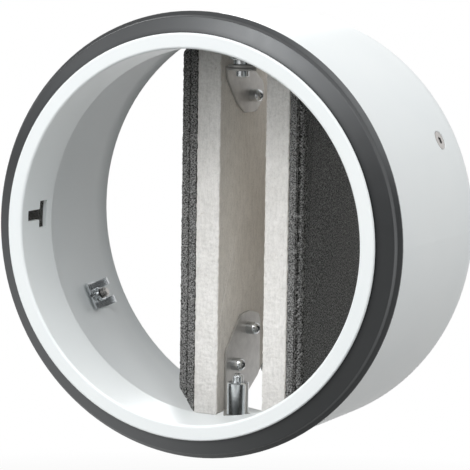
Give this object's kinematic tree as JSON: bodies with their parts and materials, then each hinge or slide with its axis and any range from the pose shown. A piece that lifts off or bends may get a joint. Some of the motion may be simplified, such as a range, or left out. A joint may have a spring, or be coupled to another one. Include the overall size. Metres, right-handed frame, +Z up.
{
  "type": "circular fire damper",
  "caption": "White round duct fire damper with a rubber lip seal, half-disc mineral blades folded back on an upright hinge, rim latches and a fusible link.",
  "frame": {"origin": "where the upright hinge axis crosses the casing's axis, inside the casing tube", "axes": "+Y along the airway from the front ring to the rear end, +Z up along the hinge axis, +X to the right as seen from the front"},
  "size_m": [0.2007, 0.146, 0.2008],
  "materials": {
    "paint": "white powder coat, satin, slightly textured",
    "rubber": "matt black moulded rubber",
    "zinc": "bright zinc plate with a slight blue tint",
    "sheet_steel": "dull galvanised sheet steel",
    "board": "pale fibrous mineral board, matt",
    "graphite": "charcoal heat-swelling graphite sheet with a fine sparkle",
    "solder_copper": "copper alloy, slightly dull"
  },
  "bodies": {
    "casing": {"main_shell": "paint", "front_collar": "paint", "lip_seal": "rubber", "swell_ring": "graphite", "lower_pivot_boss": "zinc", "lower_pivot_screw": "zinc", "lower_pivot_sleeve": "zinc", "upper_pivot_post": "zinc", "upper_pivot_screw": "zinc", "closing_spring": "zinc", "latch_left": "zinc", "latch_right": "zinc", "latch_screws": "zinc"},
    "left_blade": {"left_core": "board", "left_inner_layer": "graphite", "left_outer_layer": "graphite", "left_upper_bracket": "sheet_steel", "left_lower_bracket": "sheet_steel", "left_bracket_screws": "zinc", "left_link_bracket": "sheet_steel", "left_link_screws": "zinc", "left_link_plate": "solder_copper", "left_link_rivet": "zinc"},
    "right_blade": {"right_core": "board", "right_inner_layer": "graphite", "right_outer_layer": "graphite", "right_upper_bracket": "sheet_steel", "right_lower_bracket": "sheet_steel", "right_bracket_screws": "zinc", "right_link_bracket": "sheet_steel", "right_link_screws": "zinc", "right_link_plate": "solder_copper", "right_link_rivet": "zinc"}
  },
  "joints": [
    {"name": "left_blade_hinge", "type": "hinge", "parent": "casing", "child": "left_blade", "pos_m": [0, 0, 0], "axis": [0, 0, 1], "range_deg": [0, 90]},
    {"name": "right_blade_hinge", "type": "hinge", "parent": "casing", "child": "right_blade", "pos_m": [0, 0, 0], "axis": [0, 0, 1], "range_deg": [-90, 0]}
  ]
}
